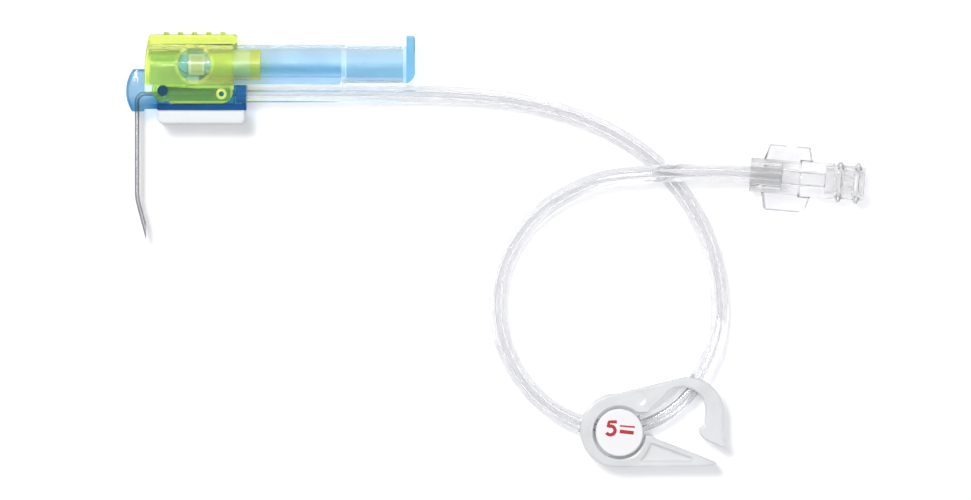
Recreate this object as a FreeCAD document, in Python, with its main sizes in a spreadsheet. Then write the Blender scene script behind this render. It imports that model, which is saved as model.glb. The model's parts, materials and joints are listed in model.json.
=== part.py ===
# Safety huber needle set, lying on its side as on a table. Millimetres.
#
# The hub carries the bent needle, the foam pad and the tubing. The housing turns on the hub's two pins,
# and the sleeve slides in the housing. Turned up by a quarter, the sleeve stands over the needle and can
# be pushed down until its mouth has passed the tip.
#
# X runs along the closed sleeve, Y points away from the skin and Z up from the table. Most pieces are
# drawn about the pivot pin: along X from the pin, up from the pin, and across from the middle plane.

import FreeCAD, Part
import math
import os

import Sketcher
from FreeCAD import Placement, Rotation, Vector

DRIVING_SIZES = {
    # The mechanism
    "pivot_offset": 5.05,
    "pin_radius": 1.0,
    "pin_clearance": 0.05,
    "slide_clearance": 0.15,
    "slot_clearance": 0.3,
    "core_clearance": 0.1,
    "side_clearance": 0.12,
    "stroke": 27.0,
    "unit_width": 9.9,
    # The needle
    "needle_outer": 0.9,
    "needle_inner": 0.6,
    "needle_reach": 28.42,
    "needle_bend": 1.5,
    "heel_radius": 10.0,
    "heel_turn": 15.0,
    "tip_set": 1.7,
    # The hub
    "nose_radius": 7.1,
    "nose_top": 4.2,
    "nose_bottom": 3.85,
    "nose_right": 3.6,
    "nose_width": 3.7,
    "nose_edge": 0.55,
    "neck_top": 0.3,
    "neck_bottom": 3.4,
    "foot_left": 1.07,
    "foot_bottom": 3.66,
    "foot_plate": 1.21,
    "foot_right": 15.2,
    "body_top": 0.25,
    "block_left": 13.5,
    "block_right": 15.9,
    "block_top": 1.1,
    "tube_drop": 0.5,
    "socket_depth": 2.0,
    "socket_clearance": 0.05,
    # The foam pad
    "pad_left": 0.97,
    "pad_right": 15.6,
    "pad_thickness": 2.57,
    "pad_corner": 1.0,
    # The housing
    "housing_left": 2.55,
    "housing_skirt": 3.45,
    "housing_right": 13.33,
    "housing_top": 10.74,
    "front_radius": 33.0,
    "housing_lip": 0.75,
    "lip_height": 1.7,
    "ear_step": 1.3,
    "ear_inset": 1.6,
    "ear_gap": 0.09,
    "ear_corner": 2.2,
    "lug_radius": 2.05,
    "housing_edge": 1.1,
    "rib_first": 0.67,
    "rib_pitch": 2.68,
    "rib_width": 1.2,
    "rib_height": 0.46,
    "rib_half": 3.7,
    "window_place": 6.0,
    "window_radius": 3.15,
    "window_rim": 0.5,
    "snap_place": 11.14,
    "snap_drop": 0.57,
    "snap_radius": 0.5,
    "snap_rim": 0.4,
    "floor_left": 4.6,
    "floor_thickness": 0.6,
    # The core that stands in the sleeve
    "core_cup": 0.65,
    "core_wall": 2.1,
    "core_end_gap": 0.1,
    "web_length": 2.2,
    "web_clearance": 0.2,
    # The sleeve
    "sleeve_mouth": 2.6,
    "sleeve_outer": 3.85,
    "sleeve_inner": 3.25,
    "sleeve_length": 36.6,
    "grip_outer": 3.55,
    "grip_inner": 3.05,
    "grip_length": 12.3,
    "shoulder_length": 0.7,
    "shoulder_radius": 1.0,
    "rail_end": 0.9,
    "end_wall": 0.7,
    "flange_thickness": 1.64,
    "flange_top": 5.52,
    "flange_bottom": 3.7,
    "flange_half": 4.6,
    "flange_corner": 2.6,
    "flange_edge": 0.6,
    "flange_curve": 2.3,
    "catch_left": 4.84,
    "catch_length": 3.06,
    "catch_half": 2.07,
    "relief_radius": 0.35,
    "relief_place": 8.46,
    "relief_half": 1.42,
    # The tubing
    "tube_outer": 3.3,
    # The female luer
    "luer_start_x": 91.33,
    "luer_start_y": -7.22,
    "luer_height": 3.95,
    "luer_tilt": 4.8,
    "luer_radius": 3.25,
    "luer_length": 21.8,
    "luer_socket": 6.0,
    "waterway_radius": 1.1,
    "taper_mouth": 2.15,
    "taper_depth": 7.5,
    "taper_rise": 0.03,
    "lug_outer": 3.9,
    "lug_length": 1.5,
    "collar_place": 9.5,
    "collar_length": 6.5,
    "collar_rise": 0.2,
    "wing_thickness": 0.9,
    "wing_start": 2.55,
    "wing_end": 11.8,
    "wing_height": 6.1,
    "wing_notch": 0.85,
    "wing_slant": 0.7,
    "wing_round": 0.4,
    # The pinch clamp
    "clamp_x": 65.94,
    "clamp_y": -56.0,
    "clamp_width": 6.6,
    "bow_outer": 7.0,
    "bow_inner": 5.05,
    "bow_shift": 0.45,
    "bow_drop": 0.35,
    "throat_bottom": 0.9,
    "throat_top": 3.4,
    "recess_depth": 0.5,
    "ejector_x": 4.15,
    "ejector_y": 6.27,
    "ejector_radius": 1.4,
    "ejector_depth": 0.15,
    "clamp_channel": 1.85,
    # The disc on the tubing
    "disc_gap": 0.5,
    "disc_thickness": 6.0,
    "disc_bore_clearance": 0.1,
}

# The tubing's way, by hand: a low curve, a loop through the clamp, and a hump over the first strand.
TUBE_WAY = [
    (2.7, 8.1, 4.95),
    (17.9, 8.2, 3.60),
    (34.5, 8.1, 1.75),
    (49.8, 6.5, 1.68),
    (64.2, 1.8, 1.68),
    (75.9, -6.6, 1.68),
    (83.8, -19.1, 1.68),
    (86.2, -32.9, 1.70),
    (84.0, -43.0, 3.00),
    (76.4, -53.0, 3.30),
    (63.9, -56.7, 3.30),
    (51.9, -51.9, 2.90),
    (44.0, -41.0, 1.70),
    (42.6, -27.7, 1.68),
    (48.8, -15.5, 1.68),
    (60.8, -8.3, 3.70),
    (71.5, -7.1, 5.55),
    (79.8, -6.9, 5.55),
]
LEAD_IN = 2.4
ARC_SHARE = 0.45
RIB_COUNT = 5
LUG_PLACES = (5.5, 2.1)
CUT_MARGIN = 1.0
OVERLAP = 0.5


class Size:
    """A length worked out from the sheet: its value now, and the formula that binds a property to it."""

    def __init__(self, value, text):
        self.value = value
        self.text = text

    @staticmethod
    def of(other):
        return other if isinstance(other, Size) else Size(other, str(other))

    def __add__(self, other):
        other = Size.of(other)
        return Size(self.value + other.value, f"({self.text} + {other.text})")

    def __radd__(self, other):
        return Size.of(other) + self

    def __sub__(self, other):
        other = Size.of(other)
        return Size(self.value - other.value, f"({self.text} - {other.text})")

    def __rsub__(self, other):
        return Size.of(other) - self

    def __mul__(self, other):
        other = Size.of(other)
        return Size(self.value * other.value, f"({self.text} * {other.text})")

    def __rmul__(self, other):
        return Size.of(other) * self

    def __truediv__(self, other):
        other = Size.of(other)
        return Size(self.value / other.value, f"({self.text} / {other.text})")

    def __neg__(self):
        return Size(-self.value, f"(0 - {self.text})")


document = FreeCAD.newDocument("SafetyHuberNeedle")
sheet = document.addObject("Spreadsheet::Sheet", "sizes")
for row, (alias, length) in enumerate(DRIVING_SIZES.items(), start=1):
    sheet.set(f"A{row}", alias)
    sheet.set(f"B{row}", str(length))
    sheet.setAlias(f"B{row}", alias)
document.recompute()


class Cells:
    """Each driving dimension as a Size, read back from the sheet."""

    def __getattr__(self, alias):
        return Size(float(sheet.get(alias)), f"sizes.{alias}")


size = Cells()

# Derived places. The origin is under the middle of everything but the tubing and what is on it.
half_width = size.unit_width / 2
nose_half = size.nose_width / 2
channel_half = size.sleeve_outer + size.slide_clearance
slot_half = nose_half + size.slot_clearance
sleeve_step = size.sleeve_length - size.sleeve_mouth
grip_end = sleeve_step + size.grip_length
sleeve_reach = grip_end + size.flange_thickness
pivot_x = (size.nose_radius - sleeve_reach) / 2
rib_top = size.housing_top + size.rib_height
pivot_y = (size.needle_reach - rib_top) / 2
pivot_z = half_width
needle_radius = size.needle_outer / 2
tube_radius = size.tube_outer / 2
socket_floor = size.block_right - size.socket_depth
floor_top = size.block_top
floor_bottom = floor_top - size.floor_thickness
rail_depth = size.pivot_offset - floor_top - size.slide_clearance
through = size.unit_width + 2 * CUT_MARGIN


def bind(item, name, length):
    """Set a property from a Size and keep it bound to the sheet."""
    item.setExpression(name, Size.of(length).text)


def put(item, x, y, z, turn=None):
    """Place an object, with its place bound to the sheet."""
    x, y, z = Size.of(x), Size.of(y), Size.of(z)
    item.Placement = Placement(Vector(x.value, y.value, z.value), turn or Rotation())
    for axis, length in zip("xyz", (x, y, z)):
        if length.text.startswith(("(", "s")):
            bind(item, f"Placement.Base.{axis}", length)
    return item


def block(name, x, y, z):
    """A box between two places on each axis."""
    item = document.addObject("Part::Box", name)
    bind(item, "Length", Size.of(x[1]) - x[0])
    bind(item, "Width", Size.of(y[1]) - y[0])
    bind(item, "Height", Size.of(z[1]) - z[0])
    return put(item, x[0], y[0], z[0])


def across(name, radius, x, y, half):
    """A round bar that lies across, from one side to the other."""
    item = document.addObject("Part::Cylinder", name)
    bind(item, "Radius", radius)
    bind(item, "Height", half * 2)
    return put(item, x, y, -Size.of(half))


def along(name, radius, x, y, z=0):
    """A round bar along X, between two places."""
    item = document.addObject("Part::Cylinder", name)
    bind(item, "Radius", radius)
    bind(item, "Height", Size.of(x[1]) - x[0])
    return put(item, x[0], y, z, Rotation(Vector(0, 1, 0), 90))


def joined(name, *items):
    item = document.addObject("Part::MultiFuse", name)
    item.Shapes = list(items)
    item.Refine = True
    return item


def cut(name, base, tool):
    item = document.addObject("Part::Cut", name)
    item.Base = base
    item.Tool = tool
    item.Refine = True
    return item


def common(name, *items):
    item = document.addObject("Part::MultiCommon", name)
    item.Shapes = list(items)
    item.Refine = True
    return item


def rounded(name, base, radius, picked):
    """Fillet the edges that the test picks."""
    document.recompute()
    item = document.addObject("Part::Fillet", name)
    item.Base = base
    found = [n for n, edge in enumerate(base.Shape.Edges, start=1) if picked(edge)]
    item.Edges = [(n, radius.value, radius.value) for n in found]
    return item


def body(name):
    return document.addObject("PartDesign::Body", name)


def origin_plane(owner, role):
    for feature in owner.Origin.OriginFeatures:
        if feature.Role == role:
            return feature


def sketch(owner, name, role="XY_Plane", offset=None):
    item = owner.newObject("Sketcher::SketchObject", name)
    item.AttachmentSupport = [(origin_plane(owner, role), "")]
    item.MapMode = "FlatFace"
    if offset is not None:
        item.AttachmentOffset = Placement(Vector(0, 0, offset.value), Rotation())
        bind(item, "AttachmentOffset.Base.z", offset)
    return item


def fix(item, kind, geometry, end, length):
    """Hold one coordinate of a point of a sketch at a distance from the sketch's origin."""
    length = Size.of(length)
    index = item.addConstraint(Sketcher.Constraint(kind, -1, 1, geometry, end, length.value))
    if "sizes." in length.text:
        item.setExpression(f"Constraints[{index}]", length.text)


def arc_between(start, end, radius):
    """The short arc of a radius from start to end, turning left."""
    chord = end - start
    middle = (start + end) * 0.5
    left = Vector(-chord.y, chord.x, 0).normalize()
    centre = middle + left * math.sqrt(radius ** 2 - (chord.Length / 2) ** 2)
    return Part.Arc(start, centre - left * radius, end)


def outline(owner, name, corners, role="XY_Plane", offset=None):
    """A closed sketch, each corner held by the sheet. Sides are straight, but a corner with a third
    size starts an arc of that radius, which turns left on its way to the next corner."""
    item = sketch(owner, name, role, offset)
    spots = [Vector(Size.of(corner[0]).value, Size.of(corner[1]).value, 0) for corner in corners]
    for spot, corner, after in zip(spots, corners, spots[1:] + spots[:1]):
        if len(corner) == 3:
            item.addGeometry(arc_between(spot, after, corner[2].value), False)
        else:
            item.addGeometry(Part.LineSegment(spot, after), False)
    for n, corner in enumerate(corners):
        item.addConstraint(Sketcher.Constraint("Coincident", n, 2, (n + 1) % len(corners), 1))
        if len(corner) == 3:
            index = item.addConstraint(Sketcher.Constraint("Radius", n, corner[2].value))
            item.setExpression(f"Constraints[{index}]", corner[2].text)
    for n, corner in enumerate(corners):
        fix(item, "DistanceX", n, 1, corner[0])
        fix(item, "DistanceY", n, 1, corner[1])
    return item


def rings(owner, name, circles, role="XY_Plane", offset=None):
    """A sketch of whole circles, each given by its middle and radius."""
    item = sketch(owner, name, role, offset)
    for n, (x, y, radius) in enumerate(circles):
        x, y, radius = Size.of(x), Size.of(y), Size.of(radius)
        item.addGeometry(Part.Circle(Vector(x.value, y.value, 0), Vector(0, 0, 1), radius.value), False)
        index = item.addConstraint(Sketcher.Constraint("Radius", n, radius.value))
        item.setExpression(f"Constraints[{index}]", radius.text)
        fix(item, "DistanceX", n, 3, x)
        fix(item, "DistanceY", n, 3, y)
    return item


def feature(owner, kind, name, profile, length=None, both_ways=True):
    """A pad or pocket of a sketch, even about its plane unless told otherwise."""
    item = owner.newObject(f"PartDesign::{kind}", name)
    item.Profile = profile
    if length is not None:
        bind(item, "Length", length)
        item.Midplane = both_ways
    return item


def turned(owner, name, profile):
    """A full turn of a sketch about its own X axis."""
    item = owner.newObject("PartDesign::Revolution", name)
    item.Profile = profile
    item.ReferenceAxis = (profile, ["H_Axis"])
    item.Angle = 360
    return item


def softened(owner, name, amount, picked, kind="Fillet", measure="Radius"):
    """Fillet, or chamfer, the body's edges that the test picks."""
    document.recompute()
    base = owner.Tip
    found = [f"Edge{n}" for n, edge in enumerate(base.Shape.Edges, start=1) if picked(edge)]
    item = owner.newObject(f"PartDesign::{kind}", name)
    item.Base = (base, found)
    bind(item, measure, amount)
    return item


def hole_rim(radius):
    """A test that picks a hole's outer edges on both sides of the unit."""
    return lambda edge: (edge.Curve.TypeId == "Part::GeomCircle" and near(edge.Curve.Radius, radius)
                         and edge.BoundBox.ZLength < 0.01 and near(abs(edge.BoundBox.ZMax), half_width))


def at_pivot(item, above=0):
    """Move a finished piece, drawn about the pin, to where the pin is."""
    return put(item, pivot_x, pivot_y + above, pivot_z)


def own_shape(name, shape):
    item = document.addObject("Part::Feature", name)
    item.Shape = shape
    return item


def straight(edge):
    return edge.Curve.TypeId == "Part::GeomLine"


def near(length, other):
    return abs(length - Size.of(other).value) < 0.01


def swept(path, radius):
    """A round bar along a path of edges."""
    start = path.Edges[0]
    tangent = start.tangentAt(start.FirstParameter)
    circle = Part.Circle(start.valueAt(start.FirstParameter), tangent, radius)
    return path.makePipeShell([Part.Wire(circle.toShape())], True, False)


# The needle: its level leg, the bend over the skin, the shaft and the curved heel with its bevel
def needle_path():
    turn = math.radians(size.heel_turn.value)
    heel = size.heel_radius.value
    shaft_x = -size.pivot_offset.value
    level = -size.tube_drop.value
    bend = size.needle_bend.value
    heel_end_x = shaft_x + heel * (1 - math.cos(turn))
    bevel_x = shaft_x + size.tip_set.value
    outer = needle_radius.value
    along_tip = (bevel_x - heel_end_x + outer * math.cos(turn)) / math.sin(turn)
    heel_end_y = -size.needle_reach.value + outer * math.sin(turn) + along_tip * math.cos(turn)
    heel_start_y = heel_end_y + heel * math.sin(turn)
    half_turn = turn / 2
    heel_middle = Vector(shaft_x + heel * (1 - math.cos(half_turn)), heel_start_y - heel * math.sin(half_turn), 0)
    heel_end = Vector(heel_end_x, heel_end_y, 0)
    past_tip = heel_end + Vector(math.sin(turn), -math.cos(turn), 0) * (along_tip + 4 * outer)
    corner = Vector(shaft_x + bend, level - bend, 0)
    slant = bend * math.sqrt(0.5)
    edges = [
        Part.LineSegment(Vector(socket_floor.value, level, 0), Vector(shaft_x + bend, level, 0)),
        Part.Arc(Vector(shaft_x + bend, level, 0), corner + Vector(-slant, slant, 0),
                 Vector(shaft_x, level - bend, 0)),
        Part.LineSegment(Vector(shaft_x, level - bend, 0), Vector(shaft_x, heel_start_y, 0)),
        Part.Arc(Vector(shaft_x, heel_start_y, 0), heel_middle, heel_end),
        Part.LineSegment(heel_end, past_tip),
    ]
    return Part.Wire([edge.toShape() for edge in edges]), bevel_x


needle_line, bevel_x = needle_path()
needle_bar = own_shape("needle_bar", swept(needle_line, needle_radius.value))
reach = size.needle_reach.value
bevel_room = Part.makeBox(reach, reach, reach, Vector(bevel_x, -1.5 * reach, -reach / 2))
needle_shape = needle_bar.Shape.cut(swept(needle_line, size.needle_inner.value / 2)).cut(bevel_room)
needle = own_shape("needle", needle_shape)
at_pivot(needle)

# The hub: a round-ended nose over the needle's bend, the body between the ears, the bottom plate under
# the ears, the block that takes the tubing, and the two pins
body_half = channel_half - size.side_clearance
nose_edge = block("nose_block", (-size.nose_radius, -size.nose_right), (-size.nose_bottom, size.nose_top),
                  (-nose_half, nose_half))
nose = common("nose_round", nose_edge, across("nose_arc", size.nose_radius, 0, 0, nose_half))
nose_soft = rounded("nose", nose, size.nose_edge, lambda edge: edge.BoundBox.ZLength < 0.01
                    and edge.BoundBox.XMax < -size.nose_right.value - 0.01)
neck = block("neck", (-size.nose_right - OVERLAP, -size.foot_left), (-size.neck_bottom, -size.neck_top),
             (-nose_half, nose_half))
hub_body = block("hub_body", (-size.foot_left, size.block_right), (-size.foot_bottom, size.body_top),
                 (-body_half, body_half))
boss = across("pin_boss", size.block_top, 0, 0, body_half)
foot = block("foot_plate", (-size.foot_left, size.foot_right),
             (-size.foot_bottom, size.foot_plate - size.foot_bottom), (-half_width, half_width))
tube_block = block("tube_block", (size.block_left, size.block_right), (size.foot_plate - size.foot_bottom,
                   size.block_top), (-half_width, half_width))
pins = across("pivot_pins", size.pin_radius, 0, 0, half_width)
hub_solid = joined("hub_solid", nose_soft, neck, hub_body, boss, foot, tube_block, pins)
socket = along("tube_socket", tube_radius + size.socket_clearance,
               (socket_floor, size.block_right + CUT_MARGIN), -size.tube_drop)
hub_rooms = joined("hub_rooms", socket, needle_bar)
needle_hub = cut("needle_hub", hub_solid, hub_rooms)
at_pivot(needle_hub)

# The foam pad under the hub
foam_block = block("foam_block", (-size.pad_left, size.pad_right),
                   (-size.foot_bottom - size.pad_thickness, -size.foot_bottom), (-half_width, half_width))
foam_pad = rounded("foam_pad", foam_block, size.pad_corner, lambda edge: edge.BoundBox.ZLength > 1
                   and near(edge.BoundBox.YMax, -size.foot_bottom - size.pad_thickness))
at_pivot(foam_pad)

# The housing: ears that hang over the hub, a bore for the sleeve, ribs to grip and a window in each side
ear_bottom = size.foot_plate - size.foot_bottom + size.ear_gap
sleeve_axis = size.pivot_offset
housing = body("housing")
side = outline(housing, "side_outline", [
    (-size.housing_left, size.housing_top, size.front_radius),
    (-size.housing_skirt, size.ear_step),
    (-size.ear_inset, size.ear_step),
    (size.ear_step, 0),
    (size.ear_step, ear_bottom),
    (size.housing_right, ear_bottom),
    (size.housing_right, size.housing_top - size.lip_height - size.housing_lip / 2),
    (size.housing_right + size.housing_lip, size.housing_top - size.lip_height),
    (size.housing_right + size.housing_lip, size.housing_top),
])
feature(housing, "Pad", "side_walls", side, size.unit_width)
softened(housing, "ear_corners", size.ear_corner, lambda edge: edge.BoundBox.ZLength > 1
         and near(edge.BoundBox.XMax, size.housing_right) and near(edge.BoundBox.YMax, ear_bottom))
softened(housing, "top_edges", size.housing_edge, lambda edge: edge.BoundBox.ZLength < 0.01
         and near(edge.BoundBox.YMin, size.housing_top))
lug_ring = rings(housing, "lug_outline", [(0, 0, size.lug_radius)])
feature(housing, "Pad", "lug", lug_ring, size.unit_width)
channel = outline(housing, "channel_outline", [
    (-size.nose_radius, sleeve_axis),
    (-size.nose_radius, -size.foot_bottom),
    (size.block_right, -size.foot_bottom),
    (size.block_right, sleeve_axis),
])
feature(housing, "Pocket", "channel", channel, channel_half * 2)
bore_ring = rings(housing, "bore_outline", [(sleeve_axis, 0, channel_half)], "YZ_Plane")
feature(housing, "Pocket", "sleeve_bore", bore_ring, size.block_right * 2 + size.housing_skirt * 2)
floor_outline = outline(housing, "floor_outline", [
    (size.floor_left, floor_bottom),
    (size.housing_right, floor_bottom),
    (size.housing_right, floor_top),
    (size.floor_left, floor_top),
])
feature(housing, "Pad", "floor", floor_outline, channel_half * 2 + size.side_clearance)
pin_holes = rings(housing, "ear_holes", [(0, 0, size.pin_radius + size.pin_clearance)])
feature(housing, "Pocket", "pin_holes", pin_holes, through)
snap_holes = rings(housing, "snap_outline", [(size.snap_place, -size.snap_drop, size.snap_radius)])
feature(housing, "Pocket", "snap_holes", snap_holes, through)
window_ring = rings(housing, "window_outline", [(size.window_place, sleeve_axis, size.window_radius)])
feature(housing, "Pocket", "windows", window_ring, through)
softened(housing, "window_rims", size.window_rim, hole_rim(size.window_radius), "Chamfer", "Size")
softened(housing, "snap_rims", size.snap_rim, hole_rim(size.snap_radius), "Chamfer", "Size")
rib_outline = outline(housing, "rib_outline", [
    (size.rib_first - size.rib_width / 2, size.housing_top - size.rib_height),
    (size.rib_first + size.rib_width / 2, size.housing_top - size.rib_height),
    (size.rib_first + size.rib_width / 2 - size.rib_height / 3, rib_top),
    (size.rib_first - size.rib_width / 2 + size.rib_height / 3, rib_top),
])
first_rib = feature(housing, "Pad", "first_rib", rib_outline, size.rib_half * 2)
ribs = housing.newObject("PartDesign::LinearPattern", "grip_ribs")
ribs.Originals = [first_rib]
ribs.Direction = (rib_outline, ["H_Axis"])
ribs.Occurrences = RIB_COUNT
bind(ribs, "Length", size.rib_pitch * (RIB_COUNT - 1))
housing.Tip = ribs
at_pivot(housing)

# The core: a cup on a web, round which the sleeve slides; its closed end stops the sleeve
core_end = sleeve_step + size.grip_length - size.end_wall - size.stroke - size.core_end_gap
core_outer = size.grip_inner - size.core_clearance
web_half = slot_half - size.web_clearance
core_bar = along("core_bar", core_outer, (size.floor_left, core_end), sleeve_axis)
core_web = block("core_web", (size.floor_left, size.floor_left + size.web_length), (floor_top, sleeve_axis),
                 (-web_half, web_half))
core_solid = joined("core_solid", core_bar, core_web)
core_bore = along("core_bore", core_outer - size.core_cup,
                  (size.floor_left - CUT_MARGIN, core_end - size.core_wall), sleeve_axis)
guide_core = cut("guide_core", core_solid, core_bore)
at_pivot(guide_core)

# The sleeve: a slotted tube with rails beside its slot, a narrower grip, and a flange for the fingers;
# drawn about its own axis
needle_sleeve = body("needle_sleeve")
sleeve_wall = outline(needle_sleeve, "sleeve_outline", [
    (-size.sleeve_mouth, size.sleeve_inner),
    (sleeve_step, size.sleeve_inner),
    (sleeve_step, size.grip_inner),
    (grip_end - size.end_wall, size.grip_inner),
    (grip_end - size.end_wall, 0),
    (grip_end, 0),
    (grip_end, size.grip_outer),
    (sleeve_step + size.shoulder_length, size.grip_outer, size.shoulder_radius),
    (sleeve_step, size.sleeve_outer),
    (-size.sleeve_mouth, size.sleeve_outer),
])
turned(needle_sleeve, "sleeve_tube", sleeve_wall)
rail_outline = outline(needle_sleeve, "rail_outline", [
    (-size.sleeve_mouth, 0),
    (-size.sleeve_mouth, -rail_depth),
    (sleeve_step - size.rail_end, -rail_depth, size.rail_end),
    (sleeve_step, size.rail_end - rail_depth),
    (sleeve_step, 0),
])
feature(needle_sleeve, "Pad", "rails", rail_outline, size.sleeve_outer * 2)
way_ring = rings(needle_sleeve, "needle_way_outline", [(0, 0, size.sleeve_inner)], "YZ_Plane", -size.sleeve_mouth)
needle_way = feature(needle_sleeve, "Pocket", "needle_way", way_ring, size.sleeve_length, False)
needle_way.Reversed = True
flange_outline = outline(needle_sleeve, "flange_outline", [
    (-size.flange_bottom, -size.flange_half),
    (size.flange_top, -size.flange_half),
    (size.flange_top, size.flange_half),
    (-size.flange_bottom, size.flange_half),
], "YZ_Plane", grip_end)
feature(needle_sleeve, "Pad", "finger_flange", flange_outline, size.flange_thickness, False)
softened(needle_sleeve, "flange_corners", size.flange_corner, lambda edge: straight(edge)
         and near(edge.BoundBox.XLength, size.flange_thickness) and edge.BoundBox.YLength < 0.01
         and edge.BoundBox.ZLength < 0.01)
softened(needle_sleeve, "flange_rim", size.flange_edge, lambda edge: near(edge.BoundBox.XMin, sleeve_reach))
flange_curve = outline(needle_sleeve, "flange_curve_outline", [
    (sleeve_reach - size.flange_curve, -size.flange_bottom, size.flange_curve),
    (sleeve_reach, size.flange_curve - size.flange_bottom),
    (sleeve_reach + CUT_MARGIN, size.flange_curve - size.flange_bottom),
    (sleeve_reach + CUT_MARGIN, -size.flange_bottom - CUT_MARGIN),
    (sleeve_reach - size.flange_curve, -size.flange_bottom - CUT_MARGIN),
])
feature(needle_sleeve, "Pocket", "flange_curve", flange_curve, size.flange_half * 2 + CUT_MARGIN)
slot_outline = outline(needle_sleeve, "slot_outline", [
    (-size.sleeve_mouth - CUT_MARGIN, 0),
    (-size.sleeve_mouth - CUT_MARGIN, -size.sleeve_outer - CUT_MARGIN),
    (sleeve_step, -size.sleeve_outer - CUT_MARGIN),
    (sleeve_step, 0),
])
feature(needle_sleeve, "Pocket", "slot", slot_outline, slot_half * 2)
catch_outline = outline(needle_sleeve, "catch_outline", [
    (size.catch_left, -size.catch_half),
    (size.catch_left + size.catch_length, -size.catch_half),
    (size.catch_left + size.catch_length, size.catch_half),
    (size.catch_left, size.catch_half),
])
feature(needle_sleeve, "Pocket", "catch_windows", catch_outline, through)
relief_rings = rings(needle_sleeve, "relief_outline", [
    (size.relief_place, -size.relief_half, size.relief_radius),
    (size.relief_place, size.relief_half, size.relief_radius),
])
feature(needle_sleeve, "Pocket", "relief_notches", relief_rings, through)
at_pivot(needle_sleeve, sleeve_axis)

# The female luer, drawn along its own axis from the end that takes the tubing
luer_connector = body("luer_connector")
taper_start = size.luer_length - size.taper_depth
taper_floor = size.taper_mouth - size.taper_rise * size.taper_depth
collar_end = size.collar_place + size.collar_length
luer_wall = outline(luer_connector, "luer_outline", [
    (0, tube_radius + size.socket_clearance),
    (size.luer_socket, tube_radius + size.socket_clearance),
    (size.luer_socket, size.waterway_radius),
    (taper_start, size.waterway_radius),
    (taper_start, taper_floor),
    (size.luer_length, size.taper_mouth),
    (size.luer_length, size.luer_radius),
    (collar_end, size.luer_radius),
    (collar_end, size.luer_radius + size.collar_rise),
    (size.collar_place, size.luer_radius + size.collar_rise),
    (size.collar_place, size.luer_radius),
    (0, size.luer_radius),
])
turned(luer_connector, "luer_barrel", luer_wall)
wing_root = size.luer_radius - size.collar_rise
wing_middle = (size.wing_start + size.wing_end) / 2
upper_wing = outline(luer_connector, "upper_wing_outline", [
    (size.wing_end, wing_root),
    (size.wing_end - size.wing_slant, size.wing_height),
    (wing_middle + size.wing_slant * 2, size.wing_height),
    (wing_middle + size.wing_slant / 4, size.wing_height - size.wing_notch),
    (wing_middle - size.wing_slant, size.wing_height),
    (size.wing_start + size.wing_slant, size.wing_height),
    (size.wing_start, wing_root),
])
feature(luer_connector, "Pad", "upper_wing", upper_wing, size.wing_thickness)
lower_wing = outline(luer_connector, "lower_wing_outline", [
    (size.wing_start, -wing_root),
    (size.wing_start + size.wing_slant / 2, -size.wing_height),
    (size.wing_start + size.wing_slant * 3 / 2, -size.wing_height - size.wing_round),
    (size.wing_end - size.wing_slant * 3, -size.wing_height - size.wing_round),
    (size.wing_end - size.wing_slant, -size.wing_height + size.wing_round),
    (size.wing_end, -wing_root),
])
feature(luer_connector, "Pad", "lower_wing", lower_wing, size.wing_thickness)
for n, place in enumerate(LUG_PLACES, start=1):
    start = size.luer_length - place
    lug = outline(luer_connector, f"thread_{n}_outline", [
        (start, wing_root),
        (start + size.lug_length, wing_root),
        (start + size.lug_length * 2 / 3, size.lug_outer),
        (start + size.lug_length / 3, size.lug_outer),
    ])
    turned(luer_connector, f"thread_{n}", lug)
tilt = Rotation(Vector(0, 0, 1), -size.luer_tilt.value)
put(luer_connector, size.luer_start_x, size.luer_start_y, size.luer_height, tilt)

# The tubing: straight runs joined by tangent arcs, from the hub's socket to the luer's


def tube_points():
    lean = math.radians(size.luer_tilt.value)
    luer_axis = Vector(math.cos(lean), -math.sin(lean), 0)
    luer_start = Vector(size.luer_start_x.value, size.luer_start_y.value, size.luer_height.value)
    level = pivot_y.value - size.tube_drop.value
    first = Vector(pivot_x.value + socket_floor.value, level, pivot_z.value)
    way = [Vector(*point) for point in TUBE_WAY]
    way[0] = Vector(way[0].x, level, pivot_z.value)
    return [first, *way, luer_start - luer_axis * LEAD_IN, luer_start + luer_axis * size.luer_socket.value]


def tube_line(points):
    edges = []
    radii = []
    here = points[0]
    for before, corner, after in zip(points, points[1:], points[2:]):
        into, out = corner - before, after - corner
        reach = ARC_SHARE * min(into.Length, out.Length)
        radii.append(reach / math.tan(into.getAngle(out) / 2))
        into.normalize()
        out.normalize()
        arc_start, arc_end = corner - into * reach, corner + out * reach
        outward = (out - into).normalize() * -1
        arc_middle = corner - outward * (math.hypot(radii[-1], reach) - radii[-1])
        edges.append(Part.LineSegment(here, arc_start).toShape())
        edges.append(Part.Arc(arc_start, arc_middle, arc_end).toShape())
        here = arc_end
    edges.append(Part.LineSegment(here, points[-1]).toShape())
    return Part.Wire(edges), radii


tube_wire, tube_radii = tube_line(tube_points())
extension_tube = own_shape("extension_tube", swept(tube_wire, tube_radius.value))
print("tube bend radii, mm:", ", ".join(f"{radius:.0f}" for radius in tube_radii))
section = math.pi * tube_radius.value ** 2
print(f"tube length {tube_wire.Length:.1f} mm, volume {extension_tube.Shape.Volume / section / tube_wire.Length:.4f}"
      " of section times length")

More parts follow.
